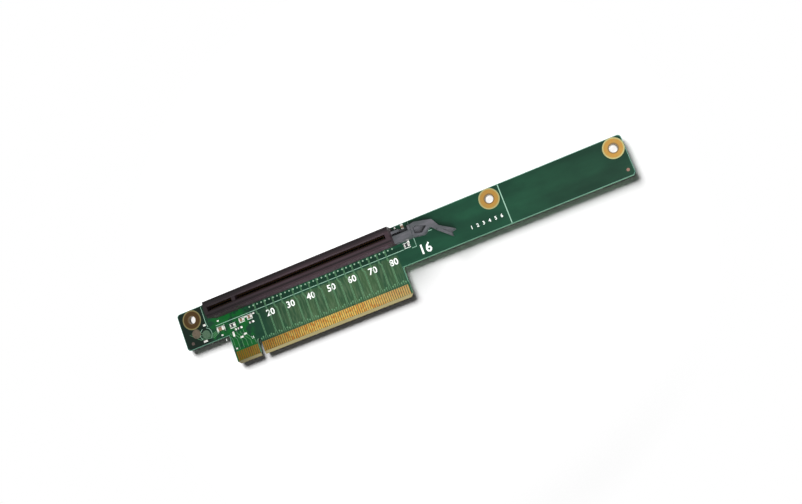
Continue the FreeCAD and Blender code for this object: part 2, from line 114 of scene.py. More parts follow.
class Signal:
    """A number inside a node tree that is added, scaled and compared like an ordinary number."""

    def __init__(self, tree: bpy.types.NodeTree, socket: bpy.types.NodeSocket) -> None:
        """Keep a node tree and the output in it that gives the number."""
        self.tree = tree
        self.socket = socket

    def math(self, operation: str, *others: "Signal | float") -> "Signal":
        """Return the result of a Math node that takes this number first."""
        return add_node(self.tree, "ShaderNodeMath", 0, dict(enumerate((self, *others))), operation=operation)

    def __add__(self, other: "Signal | float") -> "Signal":
        """Return the sum."""
        return self.math("ADD", other)

    def __sub__(self, other: "Signal | float") -> "Signal":
        """Return this number less the other."""
        return self.math("SUBTRACT", other)

    def __rsub__(self, other: float) -> "Signal":
        """Return the other number less this one."""
        return self.math("MULTIPLY_ADD", -1.0, other)

    def __mul__(self, other: "Signal | float") -> "Signal":
        """Return the product."""
        return self.math("MULTIPLY", other)

    def __abs__(self) -> "Signal":
        """Return the number without its sign."""
        return self.math("ABSOLUTE")

    __radd__ = __add__
    __rmul__ = __mul__

    def ramp(self, low: float, high: float) -> "Signal":
        """Rise smoothly from 0 at low to 1 at high.

        Args:
            low: Where the rise starts.
            high: Where it ends, which may be below low.

        Returns:
            The smooth step.
        """
        rising = float(high > low)
        fed = {
            "Value": self, "From Min": min(low, high), "From Max": max(low, high),
            "To Min": 1 - rising, "To Max": rising,
        }
        return add_node(self.tree, "ShaderNodeMapRange", "Result", fed, interpolation_type="SMOOTHSTEP")

    def away(self, along: "Signal", spot: Point) -> "Signal":
        """Return the distance from a spot, where this number is the place across.

        Args:
            along: The place along.
            spot: The spot.

        Returns:
            The distance.
        """
        dx = self - spot[0]
        dy = along - spot[1]
        return (dx * dx + dy * dy).math("SQRT")

    def wave(self, pitch: float) -> "Signal":
        """Return a wave that swings between 0 and 1 once in every pitch."""
        return (self * (2 * math.pi / pitch)).math("SINE") * 0.5 + 0.5


def plug(tree: bpy.types.NodeTree, socket: bpy.types.NodeSocket, fed: "Signal | float | Colour") -> None:
    """Link a signal to an input, or set the input to a plain value.

    Args:
        tree: The node tree.
        socket: The input.
        fed: What goes into it.
    """
    if isinstance(fed, Signal):
        tree.links.new(fed.socket, socket)
    else:
        socket.default_value = fed


def add_node(tree: bpy.types.NodeTree, kind: str, output: str | int = 0,
             inputs: dict | None = None, **settings) -> Signal:
    """Add a node.

    Args:
        tree: The node tree.
        kind: The node's type.
        output: Which of its outputs is returned.
        inputs: Values or signals for its inputs by name.
        settings: Properties set on the node.

    Returns:
        The output asked for.
    """
    node = tree.nodes.new(kind)
    for name, setting in settings.items():
        setattr(node, name, setting)
    for name, fed in (inputs or {}).items():
        plug(tree, node.inputs[name], fed)
    return Signal(tree, node.outputs[output])


@dataclass(frozen=True)
class Fade:
    """Where a tint comes in: it rises from 0 at the first place of each pair to its share at the second."""

    x: tuple[Point, ...] = ()
    y: tuple[Point, ...] = ()
    z: tuple[Point, ...] = ()
    share: float = 1.0

    def over(self, *axes: Signal) -> Signal:
        """Return how strongly the tint shows.

        Args:
            axes: The place across, along and up.

        Returns:
            The strength.
        """
        strength = self.share
        for axis, pairs in zip(axes, (self.x, self.y, self.z)):
            for pair in pairs:
                strength = axis.ramp(*pair) * strength
        return strength


Tints = tuple[tuple[Fade, Colour], ...]


class Recipe:
    """One material under construction: a Principled shader and the nodes that feed it."""

    def __init__(self, name: str) -> None:
        """Start a material.

        Args:
            name: Its name.
        """
        self.material = bpy.data.materials.new(name)
        self.material.use_nodes = True
        self.tree = self.material.node_tree
        self.shader = self.tree.nodes["Principled BSDF"]

    def node(self, kind: str, output: str | int = 0, inputs: dict | None = None, **settings) -> Signal:
        """Add any other node to the material and return the output asked for."""
        return add_node(self.tree, kind, output, inputs, **settings)

    def place(self) -> Signal:
        """Return the place on the object as a vector."""
        here = self.node("ShaderNodeTexCoord", "Object")
        grow = {0: here, "Scale": 1 / MM}
        return self.node("ShaderNodeVectorMath", 0, grow, operation="SCALE")

    def axes(self) -> tuple[Signal, Signal, Signal]:
        """Return the place on the object as three numbers."""
        split = self.node("ShaderNodeSeparateXYZ", 0, {0: self.place()}).socket.node
        return tuple(Signal(self.tree, split.outputs[axis]) for axis in range(3))

    def noise(self, size: float, detail: float = 3.0, stretch: Sequence[float] = (1, 1, 1)) -> Signal:
        """Return cloudy noise from 0 to 1.

        Args:
            size: The size of its clouds.
            detail: How many finer layers it has.
            stretch: How much longer the clouds are along each axis.

        Returns:
            The noise.
        """
        scaled = {0: self.place(), 1: tuple(1 / (size * share) for share in stretch)}
        spot = self.node("ShaderNodeVectorMath", 0, scaled, operation="MULTIPLY")
        fed = {"Vector": spot, "Scale": 1.0, "Detail": detail, "Roughness": NOISE_ROUGHNESS}
        return self.node("ShaderNodeTexNoise", 0, fed)

    def blend(self, share: Signal, first: "Signal | Colour", second: "Signal | Colour") -> Signal:
        """Return two colours mixed: the first where the share is 0 and the second where it is 1."""
        return self.node("ShaderNodeMix", 2, {0: share, 6: first, 7: second}, data_type="RGBA")

    def tinted(self, colour: Signal, tints: Tints) -> Signal:
        """Lay tints over a colour, one after another.

        Args:
            colour: The colour.
            tints: Where each tint comes in, with its own colour.

        Returns:
            The tinted colour.
        """
        axes = self.axes()
        for fade, tint in tints:
            colour = self.blend(fade.over(*axes), colour, tint)
        return colour

    def relief(self, height: Signal, depth: float) -> None:
        """Make the surface look uneven by a relief from 0 to 1 and its depth."""
        fed = {"Height": height, "Distance": depth * MM, "Strength": 1.0}
        self.feed("Normal", self.node("ShaderNodeBump", 0, fed))

    def feed(self, name: str, fed: "Signal | float | Colour") -> None:
        """Set or link one input of the Principled shader."""
        plug(self.tree, self.shader.inputs[name], fed)


@dataclass(frozen=True)
class SolderMask:
    """Green solder mask over woven laminate, with bare laminate on the cut edges, and painted shade on those
    edges.

    Its fades are the lanes of covered copper between tab and slot, the channel of solder joints beside the
    slot, the fresh patch beside the slot's end, and the card's darker stretches.
    """

    name: str = "solder_mask"
    dark: Colour = paint(13, 50, 35)
    light: Colour = paint(22, 66, 46)
    deep: Colour = paint(3, 16, 9)
    fresh: Colour = paint(8, 82, 30)
    olive: Colour = paint(52, 78, 50)
    pale: Colour = paint(76, 98, 72)
    laminate: Colour = paint(122, 160, 128)
    strand: Colour = paint(84, 130, 94)
    bevel: Colour = paint(132, 123, 87)
    # Colour of the painted shade on the cut edges.
    core: Colour = paint(54, 50, 42)
    thickness: float = 1.6
    skin: Point = (0.004, 0.012)
    lanes: Fade = Fade(x=((72.4, 71.6), (2, 18)), y=((19.6, 18.6),))
    lanes_gain: Fade = Fade(x=((74, 52),), share=0.45)
    channel: Fade = Fade(x=((-4, 4), (76, 74)), share=0.45)
    channel_middle: float = 21.0
    channel_reach: Point = (1.1, 0.7)
    shades: tuple[Fade, ...] = (Fade(x=((116, 150),), share=0.3), Fade(x=((26, 4),), share=0.32))
    patch: Fade = Fade(x=((-20.4, -19.4), (1.0, -3.0)), y=((25, 23),), share=0.9)
    short_end: Fade = Fade(x=((-19.6, -22.4),), share=0.88)
    # Painted shade: the cut edges darken towards the short arm, and the bevel darkens low down.
    dull_edge: Fade = Fade(x=((6, -14),), share=0.7)
    ground_edge: Fade = Fade(y=((1.45, 1.3),))
    gilded_depth: Point = (1.1, 0.7)
    ply: float = 0.3
    weave: Point = (0.62, 0.48)

    def mask(self, recipe: Recipe, x: Signal, y: Signal, cloud: Signal) -> Signal:
        """Return the colour of the board's two faces.

        Args:
            recipe: The material under construction.
            x: The place across.
            y: The place along.
            cloud: The mask's own cloudiness.

        Returns:
            The colour.
        """
        green = recipe.blend(cloud.ramp(0.3, 0.75), self.dark, self.light)
        lanes = self.lanes.over(x, y) * (self.lanes_gain.over(x, y) + (1 - self.lanes_gain.share))
        planes = recipe.noise(size=3.2, detail=1.0, stretch=(1, 6, 1)).ramp(0.42, 0.58)
        streaks = recipe.noise(size=0.8, detail=2.0, stretch=(1, 7, 1)).ramp(0.4, 0.66)
        green = recipe.blend((planes * 0.45 + 0.5) * lanes, green, self.olive)
        green = recipe.blend(streaks * lanes * 0.6, green, self.pale)
        channel = abs(y - self.channel_middle).ramp(*self.channel_reach) * self.channel.over(x, y)
        green = recipe.blend(channel, green, self.deep)
        for shade in self.shades:
            green = recipe.blend(shade.over(x, y), green, self.deep)
        blots = recipe.noise(size=2.6, detail=2.0).ramp(0.35, 0.6)
        green = recipe.blend(blots * self.patch.over(x, y), green, self.fresh)
        return recipe.blend(self.short_end.over(x, y), green, self.deep)

    def make(self) -> Material:
        """Build the material and return it."""
        recipe = Recipe(self.name)
        x, y, z = recipe.axes()
        cloud = recipe.noise(size=9.0, detail=4.0, stretch=(2.5, 1, 1))
        half = self.thickness / 2
        cut = abs(z - half).ramp(half - self.skin[0], half - self.skin[1])
        layers = z.wave(self.ply) * 0.35 + recipe.noise(size=0.25, stretch=(8, 8, 1)) * 0.5
        edge = recipe.blend(layers, self.laminate, self.strand)
        # Painted shade: the fingers' ground bevel darkens towards the underside, and the cut edges darken
        # towards the short arm.
        ground = recipe.blend(z.ramp(*self.gilded_depth), self.bevel, self.core)
        edge = recipe.blend(self.ground_edge.over(x, y), edge, ground)
        edge = recipe.blend(self.dull_edge.over(x, y), edge, self.core)
        recipe.feed("Base Color", recipe.blend(cut, self.mask(recipe, x, y, cloud), edge))
        weave = x.wave(self.weave[0]) * y.wave(self.weave[1])
        recipe.feed("Roughness", cloud * 0.08 + weave * 0.05 + cut * 0.35 + 0.27)
        recipe.feed("Specular IOR Level", 0.16)
        recipe.relief(weave * 0.5 + recipe.noise(size=1.2) * 0.8, depth=0.012)
        return recipe.material


@dataclass(frozen=True)
class Plating:
    """Bare plated metal with faint rubbing marks and patches of tarnish."""

    name: str
    clean: Colour
    tarnish: Colour
    roughness: float = 0.3
    patch: float = 2.0
    grain: Sequence[float] = (1, 6, 1)
    metallic: float = 1.0
    tints: Tints = ()
    spread: Point = (0.4, 0.7)

    def make(self) -> Material:
        """Build the material and return it."""
        recipe = Recipe(self.name)
        patches = recipe.noise(self.patch, detail=4.0)
        rubbing = recipe.noise(size=0.12, detail=2.0, stretch=self.grain)
        metal = recipe.blend(patches.ramp(*self.spread), self.clean, self.tarnish)
        recipe.feed("Base Color", recipe.tinted(metal, self.tints))
        recipe.feed("Metallic", self.metallic)
        recipe.feed("Roughness", patches * 0.16 + rubbing * 0.12 + self.roughness - 0.1)
        recipe.relief(rubbing * 0.5 + patches * 0.5, depth=0.004)
        return recipe.material


@dataclass(frozen=True)
class RingedPlating:
    """Gold-flashed copper round the screw holes: pale rim, browner ring worn by screw heads."""

    name: str
    centres: tuple[Point, ...]
    rim: Colour = paint(152, 148, 102)
    ring: Colour = paint(142, 102, 40)
    lip: Colour = paint(96, 74, 52)
    shaded: Colour = paint(72, 54, 31)
    ring_radius: float = 3.0
    ring_reach: Point = (1.2, 0.75)
    lip_reach: Point = (2.5, 2.1)
    lip_share: float = 0.8
    shaded_from: Point = (0, -20)
    turning: float = 0.16

    def make(self) -> Material:
        """Build the material and return it."""
        recipe = Recipe(self.name)
        x, y, _ = recipe.axes()
        reach = x.away(y, self.centres[0])
        for centre in self.centres[1:]:
            reach = reach.math("MINIMUM", x.away(y, centre))
        patches = recipe.noise(size=1.1, detail=4.0)
        ring = abs(reach - self.ring_radius).ramp(*self.ring_reach)
        worn = (ring * 0.85 + patches * 0.35 - 0.15).math("MAXIMUM", 0.0)
        gold = recipe.blend(worn, self.rim, self.ring)
        gold = recipe.blend(reach.ramp(*self.lip_reach) * self.lip_share, gold, self.lip)
        shade = x.ramp(*self.shaded_from) * ring.math("MAXIMUM", 0.45)
        recipe.feed("Base Color", recipe.blend(shade, gold, self.shaded))
        recipe.feed("Metallic", 0.9)
        recipe.feed("Roughness", patches * 0.2 + ring * 0.1 + 0.26)
        recipe.relief(reach.wave(self.turning) * 0.3 + patches * 0.7, depth=0.008)
        return recipe.material


@dataclass(frozen=True)
class Moulding:
    """Moulded plastic: fine spark-eroded texture, flow marks and slightly polished edges."""

    name: str
    body: Colour
    bloom: Colour
    roughness: float = 0.45
    flow: float = 6.0
    texture: float = 0.18
    depth: float = 0.012
    shine: float = 0.3

    def tint(self, recipe: Recipe, plastic: Signal) -> Signal:
        """Return the plastic's colour as it is."""
        return plastic

    def make(self) -> Material:
        """Build the material and return it."""
        recipe = Recipe(self.name)
        flow = recipe.noise(self.flow, detail=4.0, stretch=(4, 1, 1))
        grain = recipe.noise(self.texture)
        plastic = recipe.blend(flow.ramp(0.3, 0.8), self.body, self.bloom)
        recipe.feed("Base Color", self.tint(recipe, plastic))
        recipe.feed("Roughness", flow * 0.14 + grain * 0.16 + self.roughness - 0.12)
        recipe.feed("Specular IOR Level", self.shine)
        recipe.relief(grain, self.depth)
        return recipe.material


@dataclass(frozen=True)
class HousingPlastic(Moulding):
    """The slot housing's plastic, with painted shade along its lands, behind the mouth and at the short arm.

    Each dark strip holds where it starts, where it is full and how dark it is.
    """

    shine: float = 0.22
    middle: float = 26.8
    step: float = 2.65
    front_step: Triple = (0.5, 0.1, 0.8)
    back_step: Triple = (1.1, 0.2, 0.45)
    back_land: Triple = (1.0, 1.8, 0.35)
    # Colour of the painted shade.
    soot: Colour = paint(12, 8, 10)
    land_level: Point = (10.5, 11.5)
    # Painted shade towards the short arm's end.
    sooty_end: Fade = Fade(x=((34, -8),), share=0.7)

    def tint(self, recipe: Recipe, plastic: Signal) -> Signal:
        """Paint shade onto the plastic.

        Args:
            recipe: The material under construction.
            plastic: The plain plastic.

        Returns:
            The colour.
        """
        x, y, z = recipe.axes()
        # Painted shade: dark strips on the steps beside the mouth and on the land behind it.
        strips = (
            (abs(y - (self.middle - self.step)), self.front_step),
            (abs(y - (self.middle + self.step)), self.back_step),
            (y - self.middle, self.back_land),
        )
        soot = sum(across.ramp(start, full) * dark for across, (start, full, dark) in strips)
        soot = soot * z.ramp(*self.land_level)
        plastic = recipe.blend(soot, plastic, self.soot)
        # Painted shade: the plastic darkens towards the short arm's end.
        return recipe.blend(self.sooty_end.over(x, y), plastic, self.soot)


@dataclass(frozen=True)
class Speckled:
    """Matt ceramic, ink or paper-like surface with fine speckle."""

    name: str
    body: Colour
    speck: Colour
    roughness: float = 0.5
    size: float = 0.2
    depth: float = 0.006

    def make(self) -> Material:
        """Build the material and return it."""
        recipe = Recipe(self.name)
        speckle = recipe.noise(self.size, 3.0)
        recipe.feed("Base Color", recipe.blend(speckle.ramp(0.45, 0.75), self.body, self.speck))
        recipe.feed("Roughness", speckle * 0.2 + self.roughness - 0.1)
        recipe.relief(speckle, self.depth)
        return recipe.material


@dataclass(frozen=True)
class Sheet:
    """The pale sheet of paper under the card: it keeps the card's shadow and is plain white away from it, and
    it glows white under the screw holes as painted light.
    """

    name: str = "paper_sheet"
    tone: Colour = paint(250, 250, 250)
    fibre: Colour = paint(246, 246, 246)
    holes: tuple[Point, ...] = ()
    hole_radius: float = 1.75
    hole_share: float = 0.85
    softness: float = 0.3
    middle: Point = (71.0, 15.0)
    shadow_reach: tuple[float, float] = (116.0, 132.0)

    def make(self) -> Material:
        """Build the material and return it."""
        recipe = Recipe(self.name)
        x, y, _ = recipe.axes()
        white = x.away(y, self.middle).ramp(*self.shadow_reach)
        paper = recipe.blend(recipe.noise(size=0.8, detail=2.0), self.tone, self.fibre)
        recipe.feed("Base Color", recipe.blend(white, paper, (0, 0, 0, 1)))
        recipe.feed("Roughness", 0.9)
        recipe.feed("Specular IOR Level", 0.0)
        # Painted light: the paper glows white under each screw hole, where the card's shadow would fall.
        for hole in self.holes:
            rim = (self.hole_radius + self.softness, self.hole_radius - self.softness)
            white = white.math("MAXIMUM", x.away(y, hole).ramp(*rim) * self.hole_share)
        seen = recipe.node("ShaderNodeLightPath", "Is Camera Ray")
        seen = seen.math("MAXIMUM", recipe.node("ShaderNodeLightPath", "Is Glossy Ray"))
        recipe.feed("Emission Color", recipe.blend(white * seen, (0, 0, 0, 1), (1, 1, 1, 1)))
        recipe.feed("Emission Strength", 1.0)
        return recipe.material


class Finish(Enum):
    """Every finish on the card that needs nothing but its own numbers."""

    MASK = SolderMask()
    # Painted reflection: the gold darkens towards the short end and pales towards the far end.
    GOLD = Plating("hard_gold", paint(206, 168, 86), paint(184, 117, 46), 0.34, 1.3, spread=(0.4, 0.68),
                   tints=((Fade(x=((32, -14),)), paint(116, 80, 27)),
                          (Fade(x=((44, 72),), share=0.7), paint(156, 128, 86))))
    # Painted shade: the contacts darken from just above the board up into the housing.
    CONTACT = Plating("contact_metal", paint(206, 196, 168), paint(160, 150, 124), 0.3, 1.0,
                      tints=((Fade(z=((1.0, 3.0),)), paint(62, 46, 22)),))
    TIN = Plating("tinned", paint(226, 226, 220), paint(186, 186, 178), 0.36, 0.6, (1, 1, 1), 0.45)
    # Painted shade: bare copper darkens towards the short end.
    COPPER = Plating("bare_copper", paint(118, 84, 70), paint(100, 76, 66), 0.4, 0.8, (1, 1, 1), 0.3,
                     tints=((Fade(x=((0.0, -20.0),)), paint(70, 58, 52)),))
    COVERED = Plating("covered_copper", paint(88, 76, 62), paint(68, 64, 50), 0.45, 1.0, (1, 1, 1), 0.2)
    SEAT = Speckled("footprint_laminate", paint(58, 84, 62), paint(34, 60, 42), 0.5, 0.5)
    HOUSING = HousingPlastic("slot_plastic", paint(41, 29, 33), paint(54, 40, 46), 0.42)
    # The ribs are a lighter copy of the housing plastic: painted light on the slot's long walls.
    RIB = HousingPlastic("slot_rib_painted_light", paint(72, 53, 64), paint(94, 70, 85), 0.45)
    CLIP = Moulding("clip_plastic", paint(60, 64, 66), paint(90, 88, 94), 0.4, 1.8)
    TRACE = Speckled("masked_trace", paint(78, 122, 86), paint(56, 100, 68), 0.34, 0.8)
    LAMINATE = Speckled("laminate_rim", paint(90, 136, 120), paint(68, 112, 96), 0.5, 0.4)
    VIA = Speckled("masked_via", paint(136, 164, 142), paint(92, 132, 102), 0.4, 0.3)
    INK = Speckled("legend_ink", paint(244, 248, 244), paint(226, 232, 226), 0.6, 0.12)
    WORN_INK = Speckled("worn_legend_ink", paint(138, 176, 156), paint(92, 138, 112), 0.6, 0.5)
    CAPACITOR = Speckled("capacitor_ceramic", paint(124, 98, 78), paint(102, 80, 62), 0.55, 0.15)
    RESISTOR = Speckled("resistor_ceramic", paint(44, 42, 46), paint(28, 28, 32), 0.35, 0.15)

    @cached_property
    def material(self) -> Material:
        """Return the finish's material, which is built once."""
        return self.value.make()


# Mesh building


def select_only(obj: Mesh) -> None:
    """Make one object the only selected and the active one.

    Args:
        obj: The object.
    """
    bpy.ops.object.select_all(action="DESELECT")
    obj.select_set(True)
    bpy.context.view_layer.objects.active = obj


def settle(obj: Mesh) -> None:
    """Move an object's place, turn and scale into its mesh."""
    select_only(obj)
    bpy.ops.object.transform_apply(location=True, rotation=True, scale=True)


def primitive(add: Callable, name: str, **settings) -> Mesh:
    """Add one of Blender's own simple meshes.

    Args:
        add: The operator that adds it.
        name: The new object's name.
        settings: What the operator takes.

    Returns:
        The new object, active and alone selected.
    """
    bpy.ops.object.select_all(action="DESELECT")
    add(**settings)
    bpy.context.active_object.name = name
    return bpy.context.active_object


def apply_modifier(obj: Mesh, kind: str, **settings) -> None:
    """Add a modifier and apply it at once.

    Args:
        obj: The object.
        kind: The modifier's type.
        settings: Properties set on it.
    """
    select_only(obj)
    modifier = obj.modifiers.new(kind.lower(), kind)
    for name, setting in settings.items():
        setattr(modifier, name, setting)
    bpy.ops.object.modifier_apply(modifier=modifier.name)


def edit_faces(obj: Mesh, wanted: Callable[[bpy.types.MeshPolygon], bool]) -> None:
    """Enter edit mode with only some faces selected.

    Args:
        obj: The active object.
        wanted: Says whether a face is one of them.
    """
    bpy.ops.object.mode_set(mode="EDIT")
    bpy.ops.mesh.select_mode(type="FACE")
    bpy.ops.mesh.select_all(action="DESELECT")
    bpy.ops.object.mode_set(mode="OBJECT")
    for polygon in obj.data.polygons:
        polygon.select = wanted(polygon)
    bpy.ops.object.mode_set(mode="EDIT")


def slab(name: str, centre: Sequence[float], size: Sequence[float], rounding: float) -> Mesh:
    """Model a block with rounded edges.

    Args:
        name: The object's name.
        centre: Its centre.
        size: Its three sizes.
        rounding: The rounding of its edges.

    Returns:
        The block.
    """
    block = primitive(bpy.ops.mesh.primitive_cube_add, name, size=1, location=[part * MM for part in centre])
    block.scale = [part * MM for part in size]
    settle(block)
    apply_modifier(block, "BEVEL", width=rounding * MM, segments=2, limit_method="ANGLE")
    return block


def disc(name: str, centre: Sequence[float], radius: float, height: float, sides: int = 32) -> Mesh:
    """Model a thin disc whose upper rim is rounded off.

    Args:
        name: The object's name.
        centre: The centre of its underside.
        radius: Its radius.
        height: Its height, below zero for a disc under the board.
        sides: How many sides its rim has.

    Returns:
        The disc.
    """
    middle = (centre[0] * MM, centre[1] * MM, (centre[2] + height / 2) * MM)
    size = {"radius": radius * MM, "depth": abs(height) * MM}
    made = primitive(bpy.ops.mesh.primitive_cylinder_add, name, vertices=sides, location=middle, **size)
    settle(made)
    edit_faces(made, lambda polygon: polygon.normal.z * height > 0)
    bpy.ops.mesh.region_to_loop()
    bpy.ops.mesh.bevel(offset=min(abs(height) * DISC_ROUNDING, radius * DISC_ROUNDING_LIMIT) * MM, segments=1)
    bpy.ops.object.mode_set(mode="OBJECT")
    return made


def arc_line(centre: Point, radius: float, start: float, arc: float) -> list[Point]:
    """Return the middle line of a part of a ring.

    Args:
        centre: Its centre.
        radius: Its radius.
        start: Where it starts in degrees.
        arc: How far round it goes in degrees.

    Returns:
        A point at every ten degrees or so.
    """
    steps = int(arc / ARC_STEP)
    turns = [math.radians(start + arc * step / steps) for step in range(steps + 1)]
    return [(centre[0] + radius * math.cos(turn), centre[1] + radius * math.sin(turn)) for turn in turns]


def ribbons(name: str, lines: Iterable[Sequence[Point]], width: float, level: float,
            height: float) -> Mesh:
    """Model flat strips that follow lines on the board, with mitred corners.

    Args:
        name: The object's name.
        lines: The middle line of each strip.
        width: The strips' width.
        level: Their underside.
        height: Their height, below zero for strips under the board.

    Returns:
        All strips as one object.
    """
    curve = bpy.data.curves.new(name, "CURVE")
    curve.dimensions = "3D"
    curve.twist_mode = "Z_UP"
    curve.extrude = width * MM / 2
    for line in lines:
        spline = curve.splines.new("POLY")
        spline.points.add(len(line) - 1)
        for point, (x, y) in zip(spline.points, line):
            point.co = (x * MM, y * MM, level * MM, 1)
            point.tilt = math.pi / 2
    strip = bpy.data.objects.new(name, curve)
    bpy.context.collection.objects.link(strip)
    select_only(strip)
    bpy.ops.object.convert(target="MESH")
    strip = bpy.context.active_object
    edit_faces(strip, lambda polygon: polygon.normal.z * height < 0)
    bpy.ops.mesh.flip_normals()
    bpy.ops.object.mode_set(mode="OBJECT")
    apply_modifier(strip, "SOLIDIFY", thickness=abs(height) * MM, offset=1.0)
    return strip


def strew(name: str, master: Mesh, places: Iterable[Sequence[float]]) -> Mesh:
    """Repeat one modelled piece at many places and join the copies.

    Args:
        name: The name of the joined object.
        master: The piece, modelled about the origin. It is used up.
        places: Where it goes: across, along, up and a turn in degrees.

    Returns:
        The joined object.
    """
    copies = []
    for x, y, z, turn in places:
        copy = bpy.data.objects.new(name, master.data.copy())
        spot = Matrix.Translation((x * MM, y * MM, z * MM))
        copy.data.transform(spot @ Matrix.Rotation(math.radians(turn), 4, "Z"))
        bpy.context.collection.objects.link(copy)
        copies.append(copy)
    bpy.data.objects.remove(master)
    return gather(name, copies)


def gather(name: str, objects: Sequence[Mesh]) -> Mesh:
    """Join several objects into one.

    Args:
        name: The joined object's name.
        objects: The objects, which are used up.

    Returns:
        The joined object.
    """
    select_only(objects[0])
    for obj in objects:
        obj.select_set(True)
    bpy.ops.object.join()
    joined = bpy.context.active_object
    joined.name = name
    joined.data.name = name
    return joined


def numeral(text: str, spot: Point, size: float, level: float) -> Mesh:
    """Print a plain number on the board.

    Args:
        text: The number.
        spot: Its middle.
        size: Its height.
        level: The board's surface.

    Returns:
        The printed number.
    """
    curve = bpy.data.curves.new("number", "FONT")
    curve.body = text
    curve.size = size * MM * TYPE_SCALE
    curve.extrude = INK_HEIGHT / 2 * MM
    curve.offset = size * TYPE_WEIGHT * MM
    curve.align_x = "CENTER"
    curve.align_y = "CENTER"
    curve.resolution_u = 2
    printed = bpy.data.objects.new("number", curve)
    bpy.context.collection.objects.link(printed)
    printed.location = (spot[0] * MM, spot[1] * MM, (level + INK_HEIGHT / 2) * MM)
    select_only(printed)
    bpy.ops.object.convert(target="MESH")
    settle(bpy.context.active_object)
    return bpy.context.active_object


def finish_piece(obj: Mesh, finish: Finish, smooth: bool = True) -> None:
    """Give a finished piece its material and its body, and log its face count.

    Args:
        obj: The piece.
        finish: Its finish.
        smooth: Whether gentle edges are shaded smooth.
    """
    obj.data.materials.clear()
    obj.data.materials.append(finish.material)
    select_only(obj)
    if smooth:
        bpy.ops.object.shade_smooth_by_angle(angle=SMOOTH_ANGLE)
    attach(obj, ROOT)
    log.info("%s: %d faces", obj.name, len(obj.data.polygons))


# The card


@dataclass(frozen=True)
class Connector:
    """The contact numbering and places that the edge tab and the slot share."""

    pitch: float = 1.0
    key_to_contact: float = 1.5
    before_key: int = 11
    after_key: int = 71
    finger_top: float = 6.2
    slot_shift: float = -0.7
    inner_reach: float = 1.25
    outer_reach: float = 3.25
    pair_starts: tuple[int, ...] = (14, 19, 23, 27, 33, 37, 41, 45, 50, 54, 58, 62, 66, 70, 74, 78)

    def across(self, contact: int) -> float:
        """Find a contact's place along the tab.

        Args:
            contact: Its number, counted from 1 at the short arm.

        Returns:
            Its place across.
        """
        if contact <= self.before_key:
            return -self.key_to_contact - (self.before_key - contact) * self.pitch
        return self.key_to_contact + (contact - self.before_key - 1) * self.pitch

    def contacts(self) -> range:
        """Return every contact number on one side."""
        return range(1, self.before_key + self.after_key + 1)

    def tails(self, middle: float) -> list[Point]:
        """Return where the slot's solder tails pass through the board.

        Args:
            middle: The slot's centre line.

        Returns:
            One place for each tail.
        """
        spots = []
        for start, count in ((self.across(1), self.before_key), (self.key_to_contact, self.after_key)):
            for number in range(count):
                reach = self.outer_reach if number % 2 else self.inner_reach
                x = self.slot_shift + start + number * self.pitch
                spots += [(x, middle - reach), (x, middle + reach)]
        return spots


